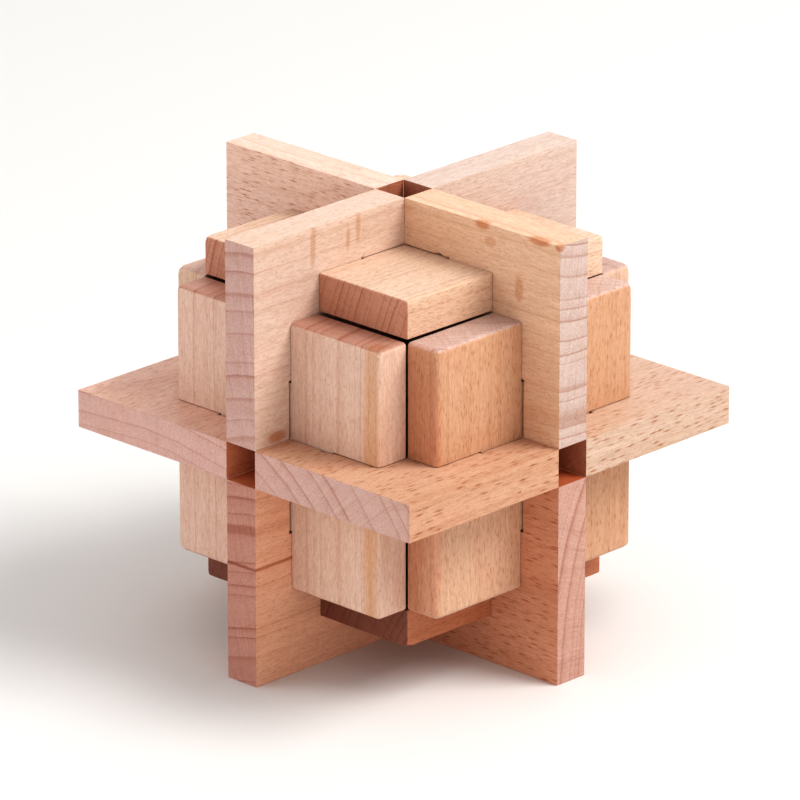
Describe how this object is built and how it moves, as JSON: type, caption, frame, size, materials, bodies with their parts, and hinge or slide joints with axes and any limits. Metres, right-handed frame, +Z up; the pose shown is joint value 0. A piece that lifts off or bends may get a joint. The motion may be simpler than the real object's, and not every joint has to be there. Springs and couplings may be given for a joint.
{
  "type": "burr puzzle",
  "caption": "Burr puzzle of interlocking square beech plates and boards, held to each other by half-lap joints in three crossed planes.",
  "frame": {"origin": "on the surface that the puzzle stands on, straight below its middle", "axes": "+X to the right, -Y to the front, +Z up; the three planes of plates lie square to X, Y and Z"},
  "size_m": [0.093, 0.093, 0.093],
  "materials": {
    "pale_beech": "bare sanded beech, satin, the palest pieces",
    "warm_beech": "bare sanded beech, satin, orange-brown heartwood tone",
    "pink_beech": "bare sanded beech, satin, pinkish tone",
    "brown_beech": "bare sanded beech, satin, the darkest piece"
  },
  "bodies": {
    "board_bottom": {"board_bottom": "brown_beech"},
    "board_front": {"board_front": "pale_beech"},
    "board_back": {"board_back": "pink_beech"},
    "board_right": {"board_right": "warm_beech"},
    "board_left": {"board_left": "pale_beech"},
    "board_top": {"board_top": "warm_beech"},
    "plate_front_lower": {"plate_front_lower": "warm_beech"},
    "plate_back_lower": {"plate_back_lower": "pink_beech"},
    "plate_right_lower": {"plate_right_lower": "pink_beech"},
    "plate_left_lower": {"plate_left_lower": "pink_beech"},
    "plate_front_right": {"plate_front_right": "warm_beech"},
    "plate_front_left": {"plate_front_left": "pink_beech"},
    "plate_back_right": {"plate_back_right": "warm_beech"},
    "plate_back_left": {"plate_back_left": "pink_beech"},
    "plate_front_upper": {"plate_front_upper": "pale_beech"},
    "plate_back_upper": {"plate_back_upper": "pink_beech"},
    "plate_right_upper": {"plate_right_upper": "warm_beech"},
    "plate_left_upper": {"plate_left_upper": "warm_beech"}
  },
  "joints": [
    {"name": "front_pull", "type": "slide", "parent": "board_bottom", "child": "plate_front_lower", "axis": [0, -1, 0], "range_m": [0, 0.012]},
    {"name": "back_pull", "type": "slide", "parent": "board_bottom", "child": "plate_back_lower", "axis": [0, 1, 0], "range_m": [0, 0.012]},
    {"name": "right_pull", "type": "slide", "parent": "board_bottom", "child": "plate_right_lower", "axis": [1, 0, 0], "range_m": [0, 0.012]},
    {"name": "left_pull", "type": "slide", "parent": "board_bottom", "child": "plate_left_lower", "axis": [-1, 0, 0], "range_m": [0, 0.012]},
    {"name": "bottom_pull", "type": "slide", "parent": "plate_front_lower", "child": "board_front", "axis": [0, 0, 1], "range_m": [0, 0.012]},
    {"name": "bottom_pull_back", "type": "slide", "parent": "plate_back_lower", "child": "board_back", "axis": [0, 0, 1], "range_m": [0, 0.012]},
    {"name": "bottom_pull_right", "type": "slide", "parent": "plate_right_lower", "child": "board_right", "axis": [0, 0, 1], "range_m": [0, 0.012]},
    {"name": "bottom_pull_left", "type": "slide", "parent": "plate_left_lower", "child": "board_left", "axis": [0, 0, 1], "range_m": [0, 0.012]},
    {"name": "top_pull", "type": "slide", "parent": "board_front", "child": "plate_front_upper", "axis": [0, 0, 1], "range_m": [0, 0.012]},
    {"name": "top_pull_back", "type": "slide", "parent": "board_back", "child": "plate_back_upper", "axis": [0, 0, 1], "range_m": [0, 0.012]},
    {"name": "top_pull_right", "type": "slide", "parent": "board_right", "child": "plate_right_upper", "axis": [0, 0, 1], "range_m": [0, 0.012]},
    {"name": "top_pull_left", "type": "slide", "parent": "board_left", "child": "plate_left_upper", "axis": [0, 0, 1], "range_m": [0, 0.012]},
    {"name": "front_pull_top", "type": "slide", "parent": "plate_front_upper", "child": "board_top", "axis": [0, 1, 0], "range_m": [0, 0.012]},
    {"name": "right_pull_front", "type": "slide", "parent": "board_front", "child": "plate_front_right", "axis": [1, 0, 0], "range_m": [0, 0.012]},
    {"name": "left_pull_front", "type": "slide", "parent": "board_front", "child": "plate_front_left", "axis": [-1, 0, 0], "range_m": [0, 0.012]},
    {"name": "right_pull_back", "type": "slide", "parent": "board_back", "child": "plate_back_right", "axis": [1, 0, 0], "range_m": [0, 0.012]},
    {"name": "left_pull_back", "type": "slide", "parent": "board_back", "child": "plate_back_left", "axis": [-1, 0, 0], "range_m": [0, 0.012]}
  ],
  "couplings": [
    {"joint": "bottom_pull_back", "follows": "bottom_pull", "ratio": 1},
    {"joint": "bottom_pull_right", "follows": "bottom_pull", "ratio": 1},
    {"joint": "bottom_pull_left", "follows": "bottom_pull", "ratio": 1},
    {"joint": "top_pull_back", "follows": "top_pull", "ratio": 1},
    {"joint": "top_pull_right", "follows": "top_pull", "ratio": 1},
    {"joint": "top_pull_left", "follows": "top_pull", "ratio": 1},
    {"joint": "front_pull_top", "follows": "front_pull", "ratio": 1},
    {"joint": "right_pull_front", "follows": "right_pull", "ratio": 1},
    {"joint": "left_pull_front", "follows": "left_pull", "ratio": 1},
    {"joint": "right_pull_back", "follows": "right_pull", "ratio": 1},
    {"joint": "left_pull_back", "follows": "left_pull", "ratio": 1}
  ]
}
